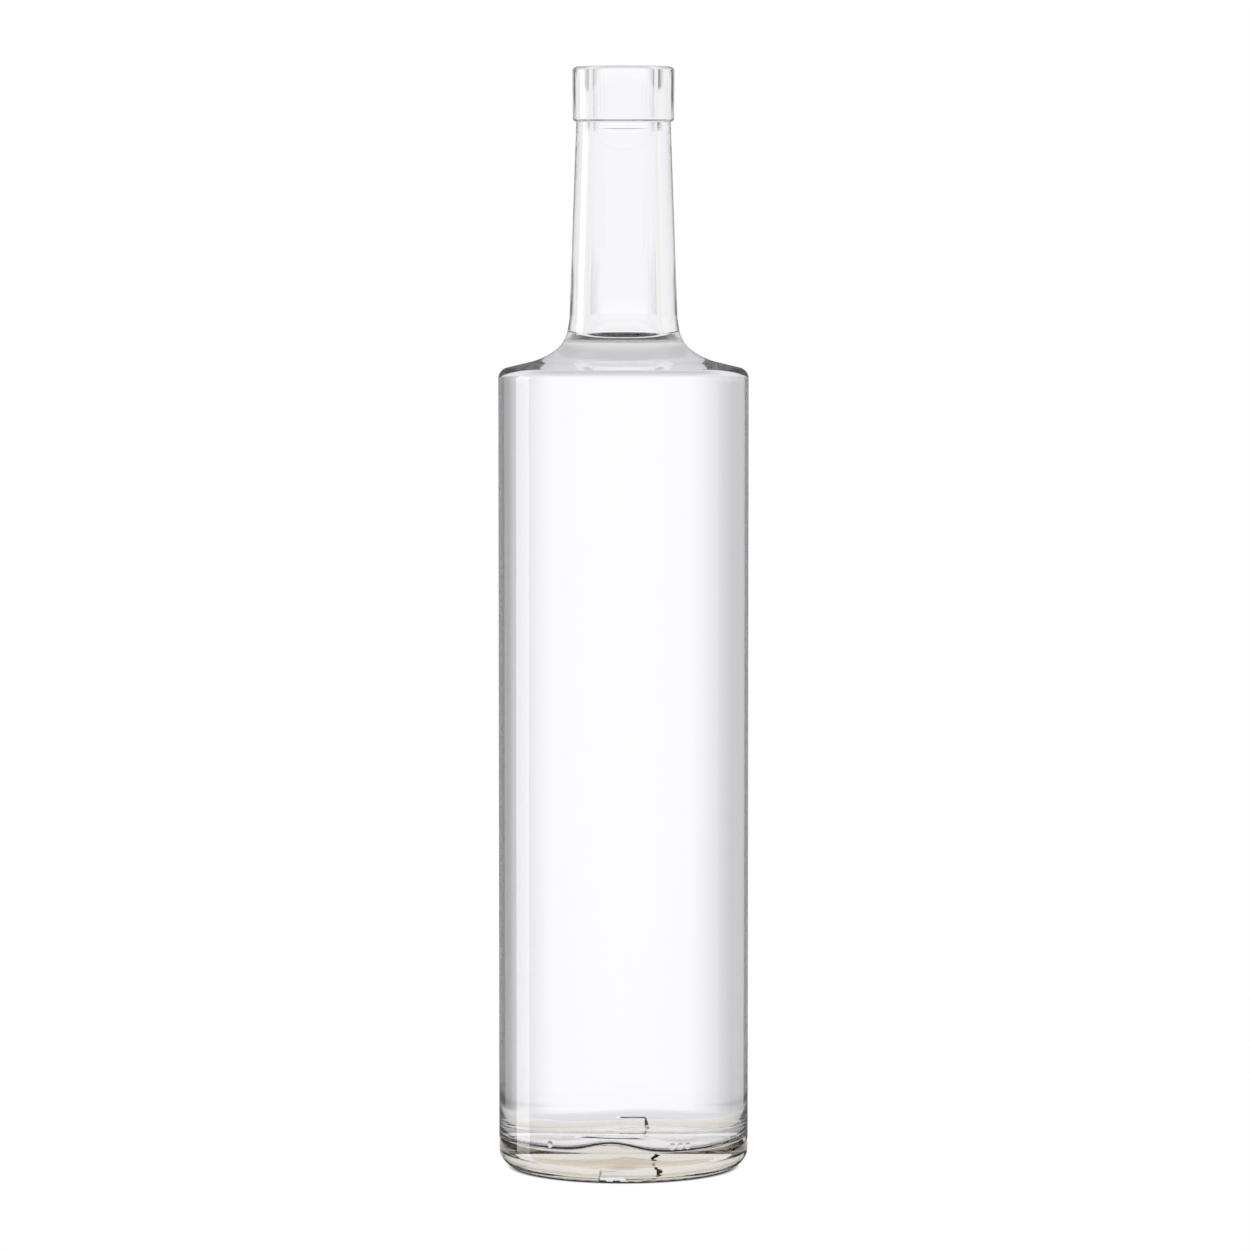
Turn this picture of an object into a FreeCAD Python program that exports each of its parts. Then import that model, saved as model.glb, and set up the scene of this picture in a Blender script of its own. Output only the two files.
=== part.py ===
"""Tall cylindrical bottle of clear liqueur with a plain stopper finish.

Two nodes. The glass is one revolved wall round one hollow: a push-up base
with a cut bearing ring, a rounded heel with two opposite locating notches,
a straight body, a low sloping shoulder, a slightly conical neck and a plain
ring at the mouth. The liqueur fills the hollow up to the foot of the neck.
Millimetres; the bottle stands on z = 0 and its axis is +Z, front to -Y.
"""
import FreeCAD
import Part
import math
import os

from FreeCAD import Vector

# ---- driving dimensions (mm) ----
HEIGHT = 305.0          # bearing face to lip
BODY_D = 69.2           # straight body
RING_D = 28.1           # mouth ring, widest at the top
RING_H = 15.0           # mouth ring, top to underside
RING_TAPER = 0.12       # radius lost from top to underside of the ring
NECK_TOP_D = 26.0       # neck just below the ring
NECK_LOW_D = 29.8       # neck where it starts to flare
NECK_L = 54.3           # underside of the ring to the flare
FLARE_H = 11.2          # flare, measured down to the shoulder slope
FLARE_OUT = 7.8         # radius gained in the flare
SHOULDER_DEG = 13.5     # shoulder slope below level
SHOULDER_R = 3.1        # corner between shoulder and body
HEEL_R = 5.4            # rounding between body and bearing face
BEARING_W = 2.6         # width of the bearing ring
PUSH_UP = 4.2           # hollow under the base, at the axis

BORE_D = 17.2           # mouth bore
BORE_L = 22.0           # straight part of the bore
BORE_LOW_D = 19.0       # bore where the neck starts to flare
WALL = 2.4              # body wall
SHOULDER_WALL = 1.4     # wall under the shoulder, measured upright
SHOULDER_IN_ROUND = 2.2 # inside corner between shoulder and wall
FLOOR_RIM = 8.0         # inside floor at its rim
FLOOR_MID = 9.4         # inside floor at the axis
FLOOR_R = 6.0           # inside corner between floor and wall

GROOVES = 48            # slots across the bearing ring
GROOVE_W = 1.7
GROOVE_DEEP = 0.3

FRONT_DEG = 264.4       # front notch, anticlockwise from +X
FRONT_NOTCH_H = 3.8     # its top above the bearing face
FRONT_NOTCH_W = 5.8     # its width at the top
REAR_DEG = 87.5         # rear notch, one side steep and the other a ramp
REAR_NOTCH_H = 10.7
REAR_NOTCH_W = 2.8
REAR_NOTCH_DEEP = 0.6   # its depth at the top

BEAD_DOWN = 2.1         # mould parting bead below the ring
BEAD_OUT = 0.12

FILL_BELOW_FLARE = 6.7  # still liqueur below the start of the flare
CREEP = 2.2             # how far the liqueur climbs the glass at its edge
CREEP_RIM = 0.3         # thickness of its climbing edge at the top

BODY_R = BODY_D / 2.0
RING_Z = HEIGHT - RING_H
FLARE_Z = RING_Z - NECK_L
SHOULDER_Z = FLARE_Z - FLARE_H
NECK_LOW_R = NECK_LOW_D / 2.0
SHOULDER_IN_R = NECK_LOW_R + FLARE_OUT
SLOPE = math.tan(math.radians(SHOULDER_DEG))
BODY_TOP_Z = SHOULDER_Z - (BODY_R - SHOULDER_IN_R) * SLOPE
BEARING_R = BODY_R - HEEL_R


def rounded(corners):
    """Wire through (radius, height, rounding) corners in the XZ plane.

    Where two roundings would overlap on a short side, both shrink to fit it.
    """
    count = len(corners)
    tips = [Vector(r, 0, z) for r, z, _ in corners]
    backs = []
    aheads = []
    halves = []
    runs = []
    for i in range(count):
        back = tips[i - 1].sub(tips[i]).normalize()
        ahead = tips[(i + 1) % count].sub(tips[i]).normalize()
        half = back.getAngle(ahead) / 2.0
        backs.append(back)
        aheads.append(ahead)
        halves.append(half)
        runs.append(corners[i][2] / math.tan(half))
    shares = [1.0] * count
    for i in range(count):
        j = (i + 1) % count
        length = tips[i].distanceToPoint(tips[j])
        wanted = runs[i] + runs[j]
        if wanted > 0.999 * length:
            shares[i] = min(shares[i], 0.999 * length / wanted)
            shares[j] = min(shares[j], 0.999 * length / wanted)
    ends = []
    for i in range(count):
        run = runs[i] * shares[i]
        if run <= 0:
            ends.append((tips[i], None, tips[i]))
            continue
        rad = run * math.tan(halves[i])
        middle = backs[i].add(aheads[i]).normalize()
        reach = rad / math.sin(halves[i]) - rad
        start = tips[i].add(Vector(backs[i]).multiply(run))
        stop = tips[i].add(Vector(aheads[i]).multiply(run))
        ends.append((start, tips[i].add(middle.multiply(reach)), stop))
    edges = []
    for i in range(count):
        start, mid, stop = ends[i]
        if mid is not None:
            edges.append(Part.Arc(start, mid, stop).toShape())
        after = ends[(i + 1) % count][0]
        if stop.distanceToPoint(after) > 1e-6:
            edges.append(Part.LineSegment(stop, after).toShape())
    return Part.Wire(Part.__sortEdges__(edges))


def turned(corners):
    """Solid of revolution about Z from a closed chain of corners."""
    face = Part.Face(rounded(corners))
    return face.revolve(Vector(0, 0, 0), Vector(0, 0, 1), 360)


def neck_r(z):
    """Outer neck radius at a height between the flare and the ring."""
    share = (z - FLARE_Z) / NECK_L
    return NECK_LOW_R + (NECK_TOP_D / 2.0 - NECK_LOW_R) * share


# ---- outside of the glass, hollow not yet cut ----
bead_z = RING_Z - BEAD_DOWN
outside = turned([
    (0.0, PUSH_UP, 0),
    (0.68 * BEARING_R, 0.75 * PUSH_UP, 30.0),
    (BEARING_R - BEARING_W, 0.0, 0.8),
    (BODY_R, 0.0, HEEL_R),
    (BODY_R, BODY_TOP_Z, SHOULDER_R),
    (SHOULDER_IN_R, SHOULDER_Z, 19.0),
    (NECK_LOW_R + 0.15 * FLARE_OUT, SHOULDER_Z + 0.38 * FLARE_H, 9.0),
    (NECK_LOW_R, FLARE_Z, 3.3),
    (neck_r(bead_z - 0.45), bead_z - 0.45, 0),
    (neck_r(bead_z) + BEAD_OUT, bead_z, 0.3),
    (neck_r(bead_z + 0.45), bead_z + 0.45, 0),
    (NECK_TOP_D / 2.0, RING_Z, 0.35),
    (RING_D / 2.0 - RING_TAPER, RING_Z, 0.8),
    (RING_D / 2.0, HEIGHT, 1.3),
    (0.0, HEIGHT, 0),
])

# ---- hollow: mouth, bore, flare, body, rounded floor ----
BORE_R = BORE_D / 2.0
BORE_LOW_R = BORE_LOW_D / 2.0
IN_R = BODY_R - WALL
in_flare_r = SHOULDER_IN_R - 0.6
in_flare_z = SHOULDER_Z - SHOULDER_WALL
in_top_z = in_flare_z - (IN_R - in_flare_r) * SLOPE
hollow = turned([
    (0.0, FLOOR_MID, 0),
    (0.5 * IN_R, FLOOR_MID - 0.3, 60.0),
    (0.84 * IN_R, FLOOR_RIM, 14.0),
    (IN_R, FLOOR_RIM, FLOOR_R - 0.8),
    (IN_R, in_top_z, SHOULDER_IN_ROUND),
    (in_flare_r, in_flare_z, 14.0),
    (BORE_LOW_R + 2.0, in_flare_z + 3.0, 7.0),
    (BORE_LOW_R, FLARE_Z + 0.5, 10.0),
    (BORE_R, HEIGHT - BORE_L, 20.0),
    (BORE_R, HEIGHT - 0.9, 0.8),
    (BORE_R + 0.9, HEIGHT, 0),
    (BORE_R + 0.9, HEIGHT + 2.0, 0),
    (0.0, HEIGHT + 2.0, 0),
])

glass = outside.cut(hollow)


def turn(shape, degrees):
    """Shape turned about the bottle's axis."""
    copy = shape.copy()
    copy.rotate(Vector(0, 0, 0), Vector(0, 0, 1), degrees)
    return copy


# ---- bearing ring: shallow slots open to the heel, closed inwards ----
slot_in = BEARING_R - 0.65 * BEARING_W
slot_len = BODY_R - slot_in
slot = Part.makeBox(slot_len, GROOVE_W, 1.0 + GROOVE_DEEP)
slot.translate(Vector(slot_in, -GROOVE_W / 2.0, -1.0))
slots = [turn(slot, (k + 0.5) * 360.0 / GROOVES) for k in range(GROOVES)]
glass = glass.cut(Part.makeCompound(slots))


def notch(top_z, half, back_top, back_base, sides):
    """Tapered recess in the heel, opening outwards along +X, all flat sides.

    sides holds, for the -Y and then the +Y side, how much it widens outwards
    and downwards (both mm per mm).
    """
    out = BODY_R + 3.0
    low = -1.0
    corners = [(back_top, top_z), (out, top_z), (out, low), (back_base, low)]
    loops = []
    for way, (flare, splay) in zip((-1.0, 1.0), sides):
        loop = []
        for x, z in corners:
            y = half + flare * (x - back_top) + splay * (top_z - z)
            loop.append(Vector(x, way * y, z))
        loops.append(loop)
    left, right = loops
    walls = [Part.Face(Part.makePolygon(loop + loop[:1])) for loop in loops]
    for i in range(4):
        j = (i + 1) % 4
        loop = [left[i], left[j], right[j], right[i], left[i]]
        walls.append(Part.Face(Part.makePolygon(loop)))
    solid = Part.makeSolid(Part.makeShell(walls))
    if solid.Volume < 0:
        solid.reverse()
    return solid


FRONT_SPLAY = 0.26
REAR_STEEP = 0.7
REAR_RAMP = 2.5
front_sides = [(0.0, FRONT_SPLAY), (0.0, FRONT_SPLAY)]
front = notch(FRONT_NOTCH_H, FRONT_NOTCH_W / 2.0, BODY_R - 3.4, BEARING_R - 0.9, front_sides)
rear_back = BODY_R - REAR_NOTCH_DEEP
rear_foot = BODY_R - 2.6
rear_lean = (rear_back - rear_foot) / (REAR_NOTCH_H + 1.0)
rear_sides = [(REAR_STEEP, REAR_STEEP * rear_lean), (REAR_RAMP, REAR_RAMP * rear_lean)]
rear = notch(REAR_NOTCH_H, REAR_NOTCH_W / 2.0, rear_back, rear_foot, rear_sides)
glass = glass.cut(turn(front, FRONT_DEG))
glass = glass.cut(turn(rear, REAR_DEG))

# ---- raised mould dots above the heel ----
DOT_D = 1.5
DOT_OUT = 0.22
DOT_Z = 10.3
dot = Part.makeCylinder(DOT_D / 2.0, 1.2 + DOT_OUT, Vector(BODY_R - 1.2, 0, DOT_Z), Vector(1, 0, 0))
for where in (-125.5, -67.3, -63.4, -59.5):
    glass = glass.fuse(turn(dot, where))

# ---- glass heaped inside, over the front notch ----
HEAP_R = 8.0
HEAP_UP = 2.4
heap = Part.makeSphere(HEAP_R, Vector(IN_R - 6.4, 0, FLOOR_RIM + HEAP_UP - HEAP_R))
above = Part.makeBox(4.0 * HEAP_R, 4.0 * HEAP_R, 3.0 * HEAP_R)
above.translate(Vector(IN_R - 6.4 - 2.0 * HEAP_R, -2.0 * HEAP_R, FLOOR_RIM - 1.5))
heap = heap.common(above)
glass = glass.fuse(turn(heap, FRONT_DEG))

# ---- liqueur: the hollow up to the fill, dished where it climbs the glass ----
fill_z = FLARE_Z - FILL_BELOW_FLARE
edge_z = fill_z + CREEP
below = Part.makeCylinder(BODY_R, edge_z)
liqueur = hollow.common(below).cut(turn(heap, FRONT_DEG))
edge = hollow.common(Part.makeCylinder(BODY_R, 0.01, Vector(0, 0, edge_z)))
edge_r = edge.optimalBoundingBox(False, False).XMax
air = turned([
    (0.0, fill_z, 0),
    (edge_r - CREEP_RIM, fill_z, 0.95 * CREEP),
    (edge_r - CREEP_RIM, HEIGHT, 0),
    (0.0, HEIGHT, 0),
])
liqueur = liqueur.cut(air)

os.makedirs("parts", exist_ok=True)
for name, piece in (("glass_bottle", glass), ("liqueur", liqueur)):
    piece = piece.removeSplitter()
    if len(piece.Solids) != 1:
        raise ValueError(name + " must be one solid")
    piece.Solids[0].exportStep("parts/" + name + ".step")
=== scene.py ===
import math

import bpy
import numpy as np
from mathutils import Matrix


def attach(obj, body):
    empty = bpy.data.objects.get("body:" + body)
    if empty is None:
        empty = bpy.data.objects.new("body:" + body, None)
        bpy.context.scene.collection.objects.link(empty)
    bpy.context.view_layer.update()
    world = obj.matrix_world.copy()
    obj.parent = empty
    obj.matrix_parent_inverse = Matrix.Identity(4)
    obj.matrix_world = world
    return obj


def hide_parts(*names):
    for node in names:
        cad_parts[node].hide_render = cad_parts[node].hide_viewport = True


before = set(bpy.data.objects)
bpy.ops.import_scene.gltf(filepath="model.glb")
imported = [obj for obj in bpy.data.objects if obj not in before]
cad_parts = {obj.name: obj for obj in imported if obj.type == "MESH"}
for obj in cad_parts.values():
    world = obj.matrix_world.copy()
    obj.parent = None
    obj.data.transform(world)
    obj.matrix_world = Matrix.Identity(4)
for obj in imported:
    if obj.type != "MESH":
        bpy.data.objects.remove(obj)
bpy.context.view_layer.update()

scene = bpy.context.scene

# ---- bottle ----
# A cylindrical spirit bottle of colourless soda-lime glass, blown in a two-part
# mould and fire polished. The foot is thick, and the ring at the mouth is moulded
# in one with it. The sizes of the bottle and of the liqueur are in millimetres.
HEIGHT = 305.0
BODY_R = 34.6
WALL = 2.4
INSIDE_R = BODY_R - WALL
RING_R = 14.05
RING_LOW = 290.0
NECK_TOP_R = 13.0
NECK_LOW_R = 14.9
FLARE_TOP = 235.7
SHOULDER_IN_R = 22.7
SHOULDER_TOP = 224.5
SHOULDER_DEG = 13.5
HEEL_R = 5.4
FOOT_R = BODY_R - HEEL_R
FOOT_IN_R = FOOT_R - 2.6
PUSH_UP = 4.2
BORE_R = 8.6
BORE_LOW_R = 9.5
MOUTH_BEVEL = 0.9
FLOOR_RIM = 8.0
FLOOR_MID = 9.4
slope = math.tan(math.radians(SHOULDER_DEG))
body_top = SHOULDER_TOP - (BODY_R - SHOULDER_IN_R) * slope
flare_in_r = SHOULDER_IN_R - 0.6
flare_in_top = SHOULDER_TOP - 1.4
inside_top = flare_in_top - (INSIDE_R - flare_in_r) * slope
ARC_STEP = math.radians(7.0)    # longest steps along a rounding
ARC_PITCH = 0.9


def profile(corners):
    """Points along an open line of (radius, height, rounding) corners."""
    tips = [np.array(c[:2], float) for c in corners]
    line = [tips[0]]
    for i in range(1, len(corners) - 1):
        back = (tips[i - 1] - tips[i]) / np.linalg.norm(tips[i - 1] - tips[i])
        ahead = (tips[i + 1] - tips[i]) / np.linalg.norm(tips[i + 1] - tips[i])
        rounding = corners[i][2]
        if rounding == 0:
            line.append(tips[i])
            continue
        half = math.acos(np.clip(back @ ahead, -1.0, 1.0)) / 2.0
        run = rounding / math.tan(half)
        middle = (back + ahead) / np.linalg.norm(back + ahead)
        centre = tips[i] + middle * rounding / math.sin(half)
        first = tips[i] + back * run - centre
        last = tips[i] + ahead * run - centre
        turn = math.atan2(first[0] * last[1] - first[1] * last[0], first @ last)
        count = max(3, math.ceil(abs(turn) / ARC_STEP), math.ceil(abs(turn) * rounding / ARC_PITCH))
        for k in range(count + 1):
            c, s = math.cos(turn * k / count), math.sin(turn * k / count)
            line.append(centre + np.array([c * first[0] - s * first[1], s * first[0] + c * first[1]]))
    line.append(tips[-1])
    return np.array(line)


def finer(line, low, high, pitch):
    """The same line with extra points between two heights."""
    out = [line[0]]
    for a, b in zip(line, line[1:]):
        gap = np.linalg.norm(b - a)
        inside = min(a[1], b[1]) < high and max(a[1], b[1]) > low
        count = max(1, math.ceil(gap / pitch)) if inside else 1
        for k in range(1, count + 1):
            out.append(a + (b - a) * k / count)
    return np.array(out)


outer_line = profile([
    (0.0, PUSH_UP, 0),
    (0.68 * FOOT_R, 0.75 * PUSH_UP, 30.0),
    (FOOT_IN_R, 0.0, 0.8),
    (BODY_R, 0.0, HEEL_R),
    (BODY_R, body_top, 3.1),
    (SHOULDER_IN_R, SHOULDER_TOP, 19.0),
    (NECK_LOW_R + 1.17, SHOULDER_TOP + 4.26, 9.0),
    (NECK_LOW_R, FLARE_TOP, 3.3),
    (13.09, 287.45, 0),         # a fine bead under the ring
    (13.18, 287.9, 0.3),
    (13.06, 288.35, 0),
    (NECK_TOP_R, RING_LOW, 0.35),
    (RING_R - 0.12, RING_LOW, 0.8),
    (RING_R, HEIGHT, 1.3),
    (BORE_R + MOUTH_BEVEL, HEIGHT, 0),
])
inner_line = profile([
    (0.0, FLOOR_MID, 0),
    (0.5 * INSIDE_R, FLOOR_MID - 0.3, 60.0),
    (0.84 * INSIDE_R, FLOOR_RIM, 14.0),
    (INSIDE_R, FLOOR_RIM, 5.2),
    (INSIDE_R, inside_top, 2.2),
    (flare_in_r, flare_in_top, 14.0),
    (BORE_LOW_R + 2.0, flare_in_top + 3.0, 7.0),
    (BORE_LOW_R, FLARE_TOP + 0.5, 10.0),
    (BORE_R, HEIGHT - 22.0, 20.0),
    (BORE_R, HEIGHT - MOUTH_BEVEL, 0.4),
    (BORE_R + MOUTH_BEVEL, HEIGHT, 0),
])
FOOT_TOP = 12.0                 # the worked foot, the thick floor and the plain body
FLOOR_TOP = 16.0
BODY_END = 219.0
outer_line = finer(outer_line, -0.5, FOOT_TOP, 0.3)
outer_line = finer(outer_line, FOOT_TOP, BODY_END, 12.0)
inner_line = finer(inner_line, 7.0, FLOOR_TOP, 0.5)
inner_line = finer(inner_line, FLOOR_TOP, BODY_END, 6.0)

SLOTS = 48                      # plain slots stand in for the knurled bearing ring
SLOT_DEPTH = 0.42
SLOT_HALF = 1.15
SLOT_EDGE = 0.5
SLOT_LENGTH = 1.7
COLUMNS = SLOTS * 12
FRONT_DEG = 264.4               # the two heel notches, counter-clockwise from +X
REAR_DEG = 87.5
NOTCHES = (
    {
        "at": FRONT_DEG, "top": 3.8, "half": 2.9, "widen": 0.26, "steep": 0.05, "gentle": 0.05,
        "back_top": BODY_R - 3.4, "back_low": FOOT_R - 0.9,
    },
    {
        "at": REAR_DEG, "top": 10.7, "half": 1.4, "widen": 0.0, "steep": 0.7, "gentle": 2.5,
        "back_top": BODY_R - 0.6, "back_low": BODY_R - 1.0,
    },
)
DOT_DEGS = (-125.5, -67.3, -63.4, -59.5)
DOT_Z = 10.3
DOT_R = 0.85
DOT_LIFT = 0.25


def angles():
    """Columns round the axis, closer together at the notches and the dots."""
    near = [np.arange(COLUMNS) * 360.0 / COLUMNS]
    for centre, half in ((FRONT_DEG, 10.0), (REAR_DEG, 12.0)):
        near.append((centre + np.arange(-half, half, 0.24)) % 360.0)
    for centre in DOT_DEGS:
        near.append((centre + np.linspace(-1.5, 1.5, 13)) % 360.0)
    merged = np.sort(np.concatenate(near))
    keep = np.concatenate([[True], np.diff(merged) > 0.07])
    return np.radians(merged[keep])


def local(x, y, degrees):
    """Outward and sideways distance in a frame turned about the axis."""
    c, s = math.cos(math.radians(degrees)), math.sin(math.radians(degrees))
    return x * c + y * s, -x * s + y * c


def outside_form(radius, height, theta):
    """Slots, notches and raised dots worked into the turned outside."""
    r, z = radius.copy(), height.copy()
    step = 2.0 * math.pi / SLOTS
    side = np.abs((theta % step) - step / 2.0) * r
    depth = SLOT_DEPTH * np.clip((SLOT_HALF - side) / SLOT_EDGE, 0.0, 1.0)
    depth = depth * np.clip((r - FOOT_R + SLOT_LENGTH) / 0.3, 0.0, 1.0)
    z = np.maximum(z, np.where(z < SLOT_DEPTH + 0.03, depth, -9.0))
    x, y = r * np.cos(theta), r * np.sin(theta)
    for notch in NOTCHES:
        out, across = local(x, y, notch["at"])
        down = np.clip(notch["top"] - z, 0.0, None)
        sinking = (notch["back_low"] - notch["back_top"]) / (notch["top"] + 1.0)
        flare = np.where(across > 0.0, notch["gentle"], notch["steep"])
        lean = notch["widen"] if notch["widen"] else -flare * sinking
        back = notch["back_top"] + sinking * down
        wall = notch["back_top"] + (np.abs(across) - notch["half"] - lean * down) / flare
        limit = np.where((z < notch["top"]) & (out > 0.0), np.maximum(back, wall), 99.0)
        scale = np.where(out > limit, limit / np.maximum(out, 1e-6), 1.0)
        c, s = math.cos(math.radians(notch["at"])), math.sin(math.radians(notch["at"]))
        out = out * scale
        x = np.where(scale < 1.0, out * c - across * s, x)
        y = np.where(scale < 1.0, out * s + across * c, y)
    for degrees in DOT_DEGS:
        out, across = local(x, y, degrees)
        gap = np.hypot(across, z - DOT_Z) / DOT_R
        lift = DOT_LIFT * np.clip(1.0 - gap ** 4, 0.0, 1.0) * (out > 0.0)
        grow = 1.0 + lift / np.maximum(np.hypot(x, y), 1.0)
        x, y = x * grow, y * grow
    return x, y, z


WALL_WAVE = 0.03
FLOOR_WAVE = 0.3
FRONT_HEAP = 2.2                # glass that gathered inside, over each notch
REAR_HEAP = 1.9


def inside_form(radius, height, theta):
    """Blown inside: faint waves in the wall and floor, and a heap over each notch."""
    r, z = radius.copy(), height.copy()
    sway = np.sin(2.0 * theta + 0.7 + z / 61.0) + 0.6 * np.sin(5.0 * theta + z / 33.0)
    r = r - WALL_WAVE * sway * np.clip((r - 9.0) / 20.0, 0.0, 1.0)
    x, y = r * np.cos(theta), r * np.sin(theta)
    out, across = local(x, y, FRONT_DEG)
    gap = ((out - INSIDE_R + 5.0) / 6.0) ** 2 + (across / 7.5) ** 2
    z = z + FRONT_HEAP * np.exp(-gap) * (z < FOOT_TOP)
    rim = np.clip((r - 20.0) / 9.0, 0.0, 1.0) * np.clip((FLOOR_TOP - z) / 3.0, 0.0, 1.0)
    back = (np.degrees(theta) - REAR_DEG + 3.0) / 17.0
    z = z + rim * (FLOOR_WAVE * np.sin(3.0 * theta + 0.9) + REAR_HEAP * np.exp(-back ** 2))
    return x, y, z


def turned_mesh(name, lines, thetas):
    """Closed mesh from rings of points; lines are (points, form) pairs."""
    rings = []
    for line, form in lines:
        for radius, height in line:
            if radius < 1e-6:
                x, y, z = form(np.array([1e-4]), np.array([height]), np.array([0.0]))
                rings.append(np.array([[0.0, 0.0, z[0]]]))
                continue
            full = np.full_like(thetas, 1.0)
            x, y, z = form(radius * full, height * full, thetas)
            rings.append(np.stack([x, y, z], axis=1))
    verts = np.concatenate(rings) * 0.001
    starts = np.cumsum([0] + [len(ring) for ring in rings])
    faces = []
    n = len(thetas)
    ahead = [(k + 1) % n for k in range(n)]
    for i in range(len(rings) - 1):
        a, b = starts[i], starts[i + 1]
        if len(rings[i]) == 1:
            faces += [(a, b + ahead[k], b + k) for k in range(n)]
        elif len(rings[i + 1]) == 1:
            faces += [(a + k, a + ahead[k], b) for k in range(n)]
        else:
            faces += [(a + k, a + ahead[k], b + ahead[k], b + k) for k in range(n)]
    mesh = bpy.data.meshes.new(name)
    mesh.from_pydata(verts.tolist(), [], faces)
    mesh.update()
    piece = bpy.data.objects.new(name, mesh)
    scene.collection.objects.link(piece)
    mesh.polygons.foreach_set("use_smooth", [True] * len(mesh.polygons))
    return piece


def colour(code):
    """Linear RGBA from an sRGB hex code."""
    parts = [int(code[i:i + 2], 16) / 255.0 for i in (1, 3, 5)]
    linear = [v / 12.92 if v <= 0.04045 else ((v + 0.055) / 1.055) ** 2.4 for v in parts]
    return tuple(linear) + (1.0,)


def node(tree, kind, settings=None, **links):
    """Add a node, set its properties or sockets, and link its inputs.

    A number, or _ and a number, names a socket by its place. "stops" are a
    ramp's (position, level) marks, from position 0 to position 1.
    """
    made = tree.nodes.new(kind)
    for key, value in (settings or {}).items():
        if key == "stops":
            marks = made.color_ramp.elements
            for index, (spot, level) in enumerate(value):
                at_end = index == len(value) - 1
                mark = marks[0] if index == 0 else marks[-1] if at_end else marks.new(spot)
                mark.position = spot
                mark.color = (level, level, level, 1.0)
        elif isinstance(key, str) and hasattr(made, key) and key not in made.inputs:
            setattr(made, key, value)
        else:
            made.inputs[key].default_value = value
    for key, source in links.items():
        socket = int(key[1:]) if key[0] == "_" and key[1:].isdigit() else key.replace("_", " ")
        tree.links.new(source, made.inputs[socket])
    return made


def material(name):
    """New empty material and its node tree."""
    made = bpy.data.materials.new(name)
    made.use_nodes = True
    made.node_tree.nodes.clear()
    return made, made.node_tree


# Soda-lime glass, fire polished: mirror smooth, with the long waves that the
# mould leaves about every 12 mm, and a trace of warm grey in its thickest parts.
WAVE_LENGTH = 0.012
WAVE_HEIGHT = 0.0004
soda_glass, tree = material("soda_lime_glass_fire_polished")
place = node(tree, "ShaderNodeTexCoord")
waves = node(
    tree, "ShaderNodeTexNoise", {"Scale": 1.0 / WAVE_LENGTH, "Detail": 1.0},
    Vector=place.outputs["Object"],
)
ripple = node(
    tree, "ShaderNodeBump", {"Strength": 0.06, "Distance": WAVE_HEIGHT},
    Height=waves.outputs["Fac"],
)
body = node(tree, "ShaderNodeBsdfPrincipled", {
    "Base Color": (1.0, 1.0, 1.0, 1.0), "Roughness": 0.0, "IOR": 1.52, "Transmission Weight": 1.0,
}, Normal=ripple.outputs["Normal"])
tint = node(tree, "ShaderNodeVolumeAbsorption", {"Color": colour("#E2DACB"), "Density": 14.0})
node(
    tree, "ShaderNodeOutputMaterial",
    Surface=body.outputs["BSDF"], Volume=tint.outputs["Volume"],
)

bottle = turned_mesh(
    "bottle_glass", [(outer_line, outside_form), (inner_line[::-1][1:], inside_form)], angles(),
)
bottle.data.materials.append(soda_glass)
bottle.data.set_sharp_from_angle(angle=math.radians(38.0))
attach(bottle, "root")
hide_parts("glass_bottle")

# ---- liqueur ----
# Colourless liqueur, about 35% alcohol with a little sugar. It wets the glass, so
# it is drawn just into the wall, and it climbs the neck in a curved edge on top.
FILL = 229.0
CREEP = 2.2                     # how far the edge climbs, and how soon that fades
CREEP_RUN = 1.6
WETTING = 0.05
COLUMN_DEG = 1.25


def hollow_r(height):
    """Inside radius of the glass at a height above the floor's corner."""
    side = inner_line[inner_line[:, 1] > 14.0]
    return float(np.interp(height, side[:, 1], side[:, 0]))


def liqueur_form(radius, height, theta):
    """The inside of the glass, grown by the wetting."""
    grown = np.where(height < FILL - 0.01, radius + WETTING, radius)
    sunk = np.where(height < 13.0, height - WETTING, height)
    return inside_form(grown, sunk, theta)


rim = hollow_r(FILL + CREEP) + WETTING
wet_line = [p for p in inner_line if p[1] < FILL - 0.3]
wet_line += [
    (hollow_r(FILL + up) + WETTING, FILL + up) for up in np.linspace(0.0, CREEP, 7)[:-1]
]
top_line = [
    (rim * s, FILL + CREEP * math.exp(-(rim - rim * s) / CREEP_RUN))
    for s in np.linspace(1.0, 0.0, 48)
]
liqueur = turned_mesh("liqueur_filling", [
    (np.array(wet_line), liqueur_form),
    (np.array(top_line), lambda r, z, t: (r * np.cos(t), r * np.sin(t), z)),
], np.radians(np.arange(0.0, 360.0, COLUMN_DEG)))

# Clear sugared spirit: a still surface that bends light a little more than water
# does, with next to no colour of its own.
clear_liqueur, tree = material("clear_sugared_spirit")
drink = node(tree, "ShaderNodeBsdfPrincipled", {
    "Base Color": (1.0, 1.0, 1.0, 1.0), "Roughness": 0.0, "IOR": 1.362, "Transmission Weight": 1.0,
})
haze = node(tree, "ShaderNodeVolumeAbsorption", {"Color": colour("#EDEFF0"), "Density": 0.3})
node(
    tree, "ShaderNodeOutputMaterial",
    Surface=drink.outputs["BSDF"], Volume=haze.outputs["Volume"],
)
liqueur.data.materials.append(clear_liqueur)
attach(liqueur, "root")
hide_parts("liqueur")

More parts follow.
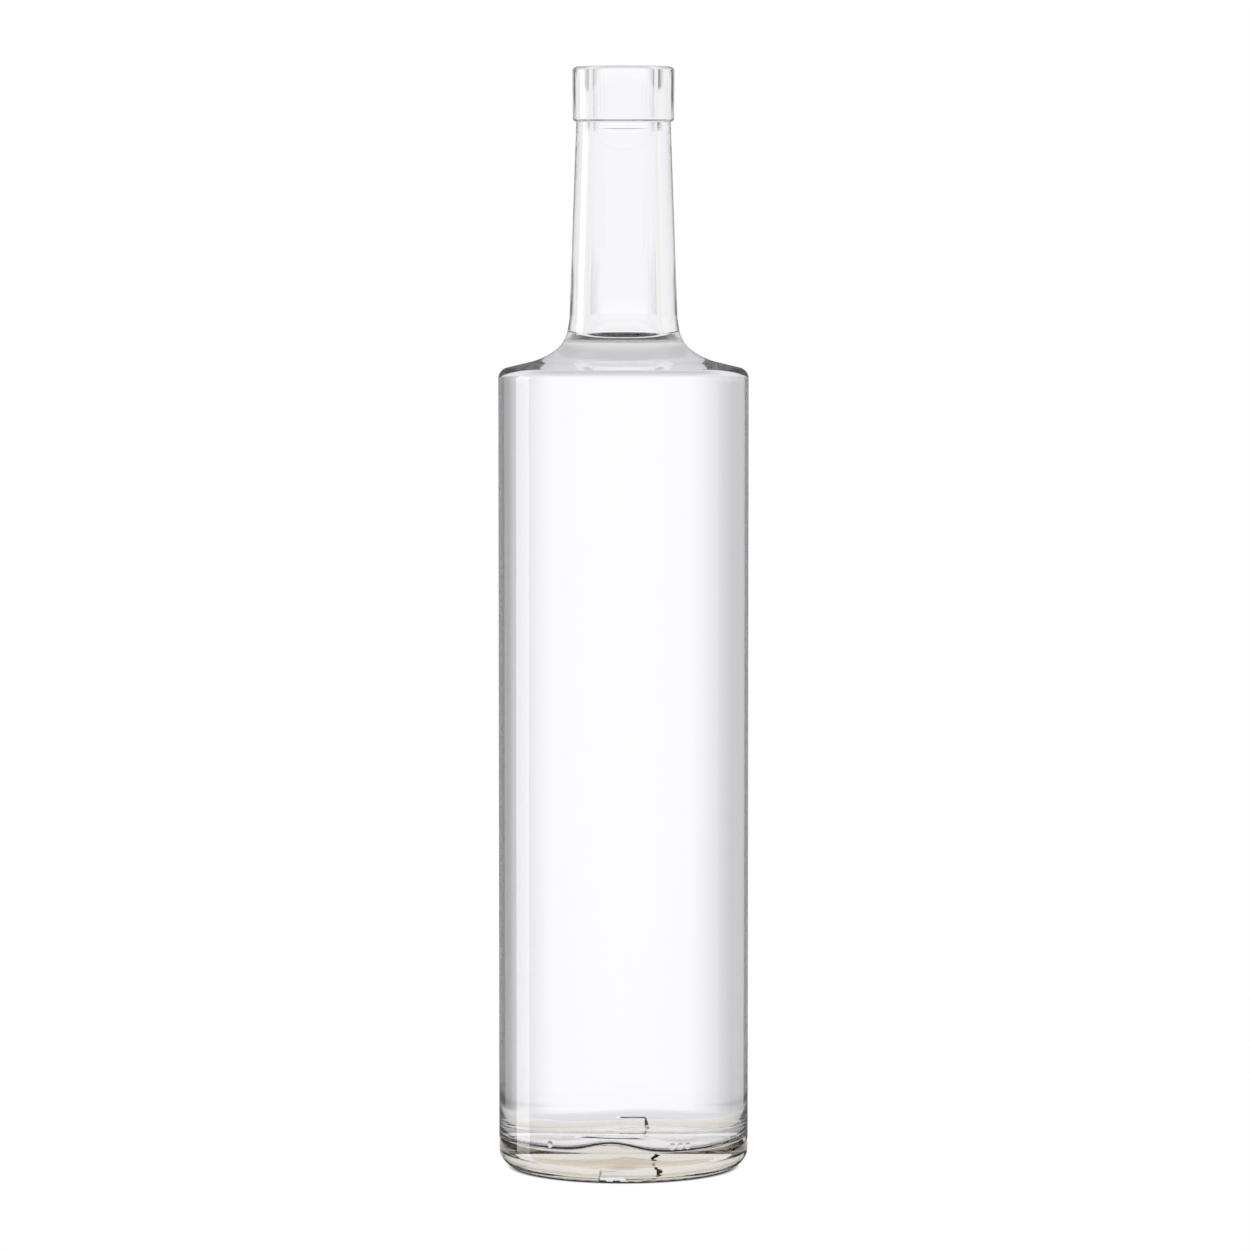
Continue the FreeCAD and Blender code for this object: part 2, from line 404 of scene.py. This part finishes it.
# ---- floor ----
# Matt white table top, plain white to the eye but for a thin contact shadow painted
# under the foot. Glass sees a painted dark shadow and a painted warm shade there, and
# further out it sees the lit studio in place of the table. Lengths are in metres.
TABLE_R = 4.0
TABLE_SIDES = 64
# Radii over which the painted contact shadow round the foot fades out.
SHADOW_IN, SHADOW_OUT = 0.0305, 0.0325
# Half-widths of the painted dark shadow under the bottle, seen only through glass.
SHADOW_PATCH_X, SHADOW_PATCH_Y = 0.054, 0.034
# Radii over which the painted warm shade near the bottle fades out, seen only through glass.
WARM_SHADE_IN, WARM_SHADE_OUT = 0.048, 0.064
MIDDLE_R = 0.066
SELF_LIT = 0.93                 # share of the table that glows white of itself
floor_mesh = bpy.data.meshes.new("floor")
floor_mesh.from_pydata([
    (TABLE_R * math.cos(a), TABLE_R * math.sin(a), -0.0001)
    for a in np.linspace(0.0, 2.0 * math.pi, TABLE_SIDES + 1)[:-1]
], [], [tuple(range(TABLE_SIDES))])
floor = bpy.data.objects.new("floor", floor_mesh)
scene.collection.objects.link(floor)
table_white, tree = material("matt_white_table")
path = node(tree, "ShaderNodeLightPath")
place = node(tree, "ShaderNodeNewGeometry")
away = node(
    tree, "ShaderNodeVectorMath", {"operation": "LENGTH"}, _0=place.outputs["Position"],
)
# Painted warm shade: seen through glass, the table is warmer and a little darker near the bottle.
warm_shade = node(
    tree, "ShaderNodeMapRange", {"From Min": WARM_SHADE_IN, "From Max": WARM_SHADE_OUT},
    Value=away.outputs["Value"],
)
painted_shade_tone = node(
    tree, "ShaderNodeMix",
    {"data_type": "RGBA", 6: colour("#F0E9DF"), 7: colour("#F8F8F9")},
    _0=warm_shade.outputs["Result"],
)
# Painted shadow: seen through glass, a dark oval lies on the table under the bottle.
squeezed = node(
    tree, "ShaderNodeVectorMath",
    {"operation": "MULTIPLY", 1: (1.0 / SHADOW_PATCH_X, 1.0 / SHADOW_PATCH_Y, 0.0)},
    _0=place.outputs["Position"],
)
shadow_patch_way = node(
    tree, "ShaderNodeVectorMath", {"operation": "LENGTH"}, _0=squeezed.outputs["Vector"],
)
shadow_patch = node(
    tree, "ShaderNodeMapRange", {"From Min": 0.94, "From Max": 1.06},
    Value=shadow_patch_way.outputs["Value"],
)
painted_shade_tone = node(
    tree, "ShaderNodeMix", {"data_type": "RGBA", 6: colour("#1A1A1C")},
    _0=shadow_patch.outputs["Result"], _7=painted_shade_tone.outputs[2],
)
# Painted contact shadow: for the camera the table goes dark close round the foot.
painted_contact_shadow = node(
    tree, "ShaderNodeMapRange",
    {"From Min": SHADOW_IN, "From Max": SHADOW_OUT, "To Min": 0.03, "To Max": 1.04},
    Value=away.outputs["Value"],
)
shown = node(
    tree, "ShaderNodeMix", {"data_type": "RGBA"},
    _0=path.outputs["Is Camera Ray"], _6=painted_shade_tone.outputs[2], _7=painted_contact_shadow.outputs["Result"],
)
glow = node(tree, "ShaderNodeEmission", {"Strength": 1.03}, Color=shown.outputs[2])
in_glass = node(
    tree, "ShaderNodeMath", {"operation": "MAXIMUM"},
    _0=path.outputs["Is Glossy Ray"], _1=path.outputs["Is Transmission Ray"],
)
seen = node(
    tree, "ShaderNodeMath", {"operation": "MAXIMUM"},
    _0=in_glass.outputs[0], _1=path.outputs["Is Camera Ray"],
)
part = node(tree, "ShaderNodeMath", {"operation": "MULTIPLY", 1: SELF_LIT}, _0=seen.outputs[0])
plain = node(tree, "ShaderNodeBsdfDiffuse", {"Color": colour("#F6F5F3")})
table = node(
    tree, "ShaderNodeMixShader",
    _0=part.outputs[0], _1=plain.outputs["BSDF"], _2=glow.outputs["Emission"],
)
far = node(
    tree, "ShaderNodeMath", {"operation": "GREATER_THAN", 1: MIDDLE_R}, _0=away.outputs["Value"],
)
gone = node(
    tree, "ShaderNodeMath", {"operation": "MULTIPLY"}, _0=far.outputs[0], _1=in_glass.outputs[0],
)
open_table = node(tree, "ShaderNodeBsdfTransparent")
whole = node(
    tree, "ShaderNodeMixShader",
    _0=gone.outputs[0], _1=table.outputs["Shader"], _2=open_table.outputs["BSDF"],
)
node(tree, "ShaderNodeOutputMaterial", Surface=whole.outputs["Shader"])
floor_mesh.materials.append(table_white)

# ---- studio ----
# A white cove lit from behind the bottle, softer to the sides, below and above, and
# plain white to the eye. A black flag on each side draws the dark edges of clear
# glass, and a narrow one draws the ring's.
GREY_BELOW = 0.88
MIRRORED = 0.2                  # share of the light that reflections show
world = bpy.data.worlds.new("studio")
scene.world = world
world.use_nodes = True
tree = world.node_tree
tree.nodes.clear()


def around(*marks):
    """Ramp stops from (degrees clockwise from straight behind, level) marks."""
    return [((degrees + 180.0) / 360.0, level) for degrees, level in marks]


def rising(*marks):
    """Ramp stops from (sine of the height angle, level) marks."""
    return [((rise + 1.0) / 2.0, level) for rise, level in marks]


way = node(tree, "ShaderNodeTexCoord")
axes = node(tree, "ShaderNodeSeparateXYZ", _0=way.outputs["Generated"])
bearing = node(
    tree, "ShaderNodeMath", {"operation": "ARCTAN2"}, _0=axes.outputs["X"], _1=axes.outputs["Y"],
)
turn = node(
    tree, "ShaderNodeMapRange", {"From Min": -math.pi, "From Max": math.pi},
    Value=bearing.outputs[0],
).outputs["Result"]
rise = node(
    tree, "ShaderNodeMapRange", {"From Min": -1.0, "From Max": 1.0}, Value=axes.outputs["Z"],
).outputs["Result"]
sides = node(tree, "ShaderNodeValToRGB", {"stops": around(
    (-180, 1.0), (-110, 0.95), (-84, 0.7), (-60, 0.61), (-50, 0.62), (-40, 0.66), (-32, 0.79),
    (-25, 0.91), (-17, 1.05), (19, 1.05), (28, 0.9), (34, 0.76), (40, 0.62), (46, 0.35),
    (58, 0.33), (84, 0.6), (110, 0.95), (180, 1.0),
)}, _0=turn)
low_flags = node(tree, "ShaderNodeValToRGB", {"stops": around(
    (-180, 1.0), (-79, 1.0), (-78, 0.01), (-59, 0.01), (-57, 1.0),
    (53, 1.0), (54, 0.01), (76, 0.01), (77, 1.0), (180, 1.0),
)}, _0=turn)
high_sides = node(tree, "ShaderNodeValToRGB", {"stops": around(
    (-180, 0.95), (-110, 0.95), (-92, 0.75), (-66, 0.75), (-61, 1.0),
    (61, 1.0), (66, 0.75), (92, 0.75), (110, 0.95), (180, 0.95),
)}, _0=turn)
high_flags = node(tree, "ShaderNodeValToRGB", {"stops": around(
    (-180, 1.0), (-96, 1.0), (-92, 0.02), (-64, 0.02), (-62, 1.0),
    (64, 1.0), (66, 0.02), (92, 0.02), (96, 1.0), (180, 1.0),
)}, _0=turn)
is_low = node(tree, "ShaderNodeValToRGB", {"stops": rising(
    (-1, 0), (-0.175, 0), (-0.16, 1), (-0.014, 1), (-0.006, 0), (1, 0),
)}, _0=rise)
is_high = node(tree, "ShaderNodeValToRGB", {"stops": rising(
    (-1, 0), (-0.014, 0), (-0.006, 1), (0.05, 1), (0.08, 0), (1, 0),
)}, _0=rise)
is_up = node(tree, "ShaderNodeValToRGB", {"stops": rising(
    (-1, 0), (-0.016, 0), (-0.006, 1), (1, 1),
)}, _0=rise)
is_middle = node(tree, "ShaderNodeValToRGB", {"stops": rising(
    (-1, 0), (-0.23, 0), (-0.18, 1), (1, 1),
)}, _0=rise)
sides = node(
    tree, "ShaderNodeMix", {"data_type": "RGBA"},
    _0=is_up.outputs["Color"], _6=sides.outputs["Color"], _7=high_sides.outputs["Color"],
)
sides = node(
    tree, "ShaderNodeMix",
    {"data_type": "RGBA", 6: (GREY_BELOW, GREY_BELOW, GREY_BELOW, 1.0)},
    _0=is_middle.outputs["Color"], _7=sides.outputs[2],
)
cut_low = node(
    tree, "ShaderNodeMix", {"data_type": "FLOAT", 2: 1.0},
    _0=is_low.outputs["Color"], _3=low_flags.outputs["Color"],
)
cut_high = node(
    tree, "ShaderNodeMix", {"data_type": "FLOAT", 2: 1.0},
    _0=is_high.outputs["Color"], _3=high_flags.outputs["Color"],
)
cut = node(
    tree, "ShaderNodeMath", {"operation": "MULTIPLY"},
    _0=cut_low.outputs[0], _1=cut_high.outputs[0],
)
floor_to_roof = node(tree, "ShaderNodeValToRGB", {"stops": rising(
    (-1, 1.0), (-0.6, 1.0), (-0.52, 0.8), (-0.34, 0.8), (-0.27, 0.95), (-0.1, 1.0), (1, 1.0),
)}, _0=rise)
side_roof = node(tree, "ShaderNodeValToRGB", {"stops": rising(
    (-1, 1.0), (0.5, 1.0), (0.6, 0.1), (1, 0.1),
)}, _0=rise)
is_aside = node(tree, "ShaderNodeValToRGB", {"stops": around(
    (-180, 1.0), (-34, 1.0), (-27, 0.0), (27, 0.0), (34, 1.0), (180, 1.0),
)}, _0=turn)
upright = node(
    tree, "ShaderNodeMix", {"data_type": "FLOAT"}, _0=is_aside.outputs["Color"],
    _2=floor_to_roof.outputs["Color"], _3=side_roof.outputs["Color"],
)
lit = node(
    tree, "ShaderNodeMath", {"operation": "MULTIPLY"}, _0=sides.outputs[2], _1=upright.outputs[0],
)
lit = node(
    tree, "ShaderNodeMath", {"operation": "MULTIPLY"}, _0=lit.outputs[0], _1=cut.outputs[0],
)
path = node(tree, "ShaderNodeLightPath")
dim = node(
    tree, "ShaderNodeMath", {"operation": "MULTIPLY_ADD", 1: 1.0 - MIRRORED, 2: MIRRORED},
    _0=path.outputs["Is Transmission Ray"],
)
lit = node(
    tree, "ShaderNodeMath", {"operation": "MULTIPLY"}, _0=lit.outputs[0], _1=dim.outputs[0],
)
shown = node(
    tree, "ShaderNodeMix", {"data_type": "FLOAT", 3: 1.0},
    _0=path.outputs["Is Camera Ray"], _2=lit.outputs[0],
)
sky = node(
    tree, "ShaderNodeBackground", {"Color": (1.0, 1.0, 1.04, 1.0)}, Strength=shown.outputs[0],
)
node(tree, "ShaderNodeOutputWorld", Surface=sky.outputs["Background"])

# ---- cards ----
# Two small white cards that glow of themselves stand a little behind the neck, one at
# each side, and keep the lines of the bore pale. A round black one hangs above the
# mouth. They are seen only through glass. Lengths are in metres.
CARD_R = 0.062
CARD_DEGS = (63.0, 81.0)
CARD_LOW, CARD_HIGH = 0.236, 0.32
ROOF_R = 0.24
ROOF_Z = 0.42
# The white card glows of itself, as a light; it is not a lit matt card.
white_card, tree = material("self_lit_white_card")
white = node(tree, "ShaderNodeEmission", {"Color": (1.0, 1.0, 1.0, 1.0), "Strength": 0.95})
node(tree, "ShaderNodeOutputMaterial", Surface=white.outputs["Emission"])
black_card, tree = material("matt_black_card")
black = node(tree, "ShaderNodeEmission", {"Color": colour("#101010"), "Strength": 1.0})
node(tree, "ShaderNodeOutputMaterial", Surface=black.outputs["Emission"])


def card(name, corners, surface):
    """Flat card that is seen only through glass."""
    card_mesh = bpy.data.meshes.new(name)
    card_mesh.from_pydata(corners, [], [tuple(range(len(corners)))])
    card_mesh.materials.append(surface)
    made = bpy.data.objects.new(name, card_mesh)
    scene.collection.objects.link(made)
    made.visible_camera = False
    made.visible_glossy = False
    made.visible_diffuse = False
    made.visible_shadow = False


for name, side in (("card_left", -1.0), ("card_right", 1.0)):
    near, outer = [math.radians(90.0 - side * degrees) for degrees in CARD_DEGS]
    card(name, [(CARD_R * math.cos(a), CARD_R * math.sin(a), z) for a, z in (
        (near, CARD_LOW), (outer, CARD_LOW), (outer, CARD_HIGH), (near, CARD_HIGH),
    )], white_card)
card("card_above", [
    (ROOF_R * math.cos(a), ROOF_R * math.sin(a), ROOF_Z)
    for a in np.linspace(0.0, 2.0 * math.pi, 33)[:-1]
], black_card)

# ---- softbox ----
# A tall softbox of white cloth stands to the left, turned to the bottle. It lays a
# long highlight down the side of the glass, and isn't seen through it.
SOFTBOX_FAR = 1.2
SOFTBOX_TURN = math.radians(-74.0)
softbox_data = bpy.data.lights.new("softbox_left", "AREA")
softbox_data.shape = "RECTANGLE"
softbox_data.size = 0.42
softbox_data.size_y = 0.9
softbox_data.energy = 3.2
softbox = bpy.data.objects.new("softbox_left", softbox_data)
scene.collection.objects.link(softbox)
softbox.location = (
    SOFTBOX_FAR * math.sin(SOFTBOX_TURN), SOFTBOX_FAR * math.cos(SOFTBOX_TURN), 0.25,
)
softbox_way = math.atan2(softbox.location.y, softbox.location.x)
softbox.rotation_euler = (math.radians(90.0), 0.0, softbox_way + math.radians(90.0))
softbox.visible_transmission = False

# ---- camera ----
# A long lens 1.58 m in front of the bottle, tilted down a little, so that its upright
# sides stay almost parallel. Clear glass needs many bounces to let a ray out again.
BOUNCES = 40
camera_data = bpy.data.cameras.new("camera")
camera_data.sensor_width = 36.0
camera_data.lens = 164.5056
camera_data.clip_start = 0.01
camera = bpy.data.objects.new("camera", camera_data)
scene.collection.objects.link(camera)
camera.location = (0.0, -1.58, 0.2556)
camera.rotation_euler = (math.radians(90.0 - 3.791), 0.0, math.radians(-0.015))
scene.camera = camera
scene.view_settings.view_transform = "Standard"
scene.cycles.max_bounces = BOUNCES
scene.cycles.transmission_bounces = BOUNCES
scene.cycles.glossy_bounces = BOUNCES
